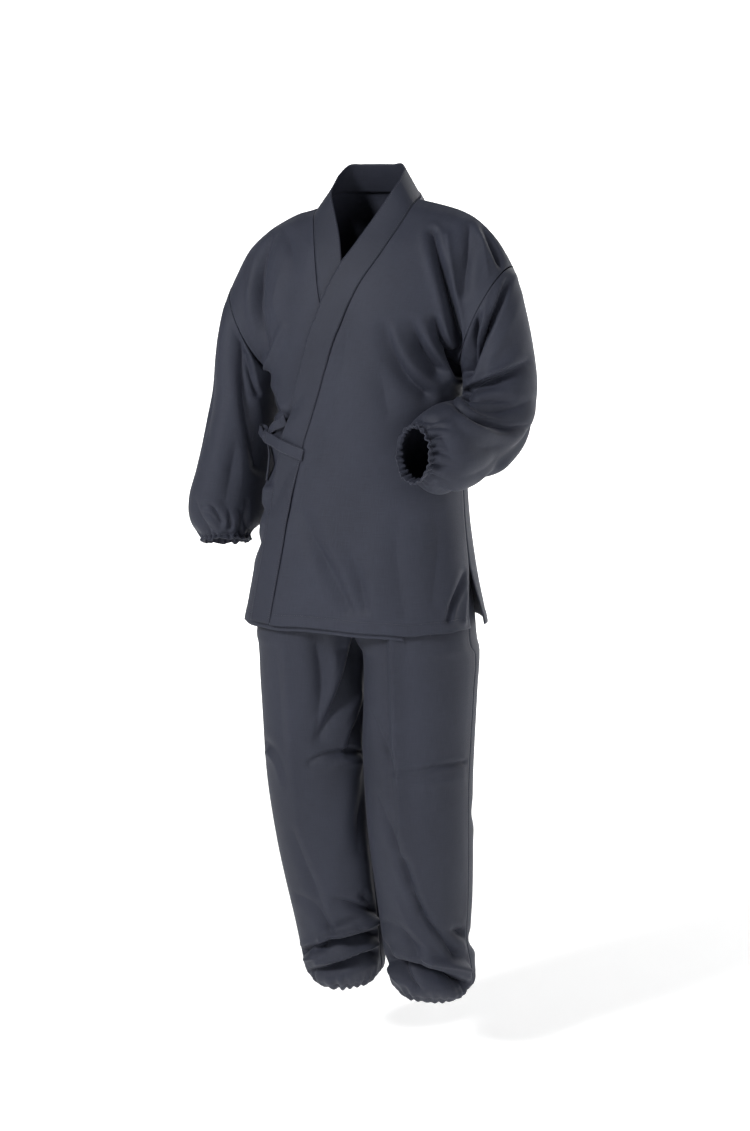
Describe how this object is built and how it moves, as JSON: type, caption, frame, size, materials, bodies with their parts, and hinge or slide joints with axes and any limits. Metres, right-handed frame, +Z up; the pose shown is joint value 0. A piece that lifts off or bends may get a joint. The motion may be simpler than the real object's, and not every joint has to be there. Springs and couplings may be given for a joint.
{
  "type": "samue, worn set of jacket and trousers",
  "caption": "Worn samue: a crossed-front work jacket with a collar band, gathered cuffs and a side bow, over straight trousers gathered at the hems.",
  "frame": {"origin": "in the middle of the neck, level with the tops of the shoulders, where the wearer holds the garment up", "axes": "+Z up, the front faces -Y, +X to the wearer's left"},
  "size_m": [0.5843, 0.3162, 1.3405],
  "materials": {
    "cloth": "matt plain weave"
  },
  "bodies": {
    "root": {"jacket_back": "cloth", "jacket_front_left": "cloth", "jacket_front_right": "cloth", "collar_band": "cloth", "sleeve_left": "cloth", "sleeve_right": "cloth", "trouser_front_left": "cloth", "trouser_back_left": "cloth", "trouser_front_right": "cloth", "trouser_back_right": "cloth", "tie_root": "cloth", "tie_side": "cloth", "tie_knot": "cloth", "tie_loop": "cloth", "tie_tail": "cloth", "tie_drop": "cloth"}
  },
  "joints": []
}
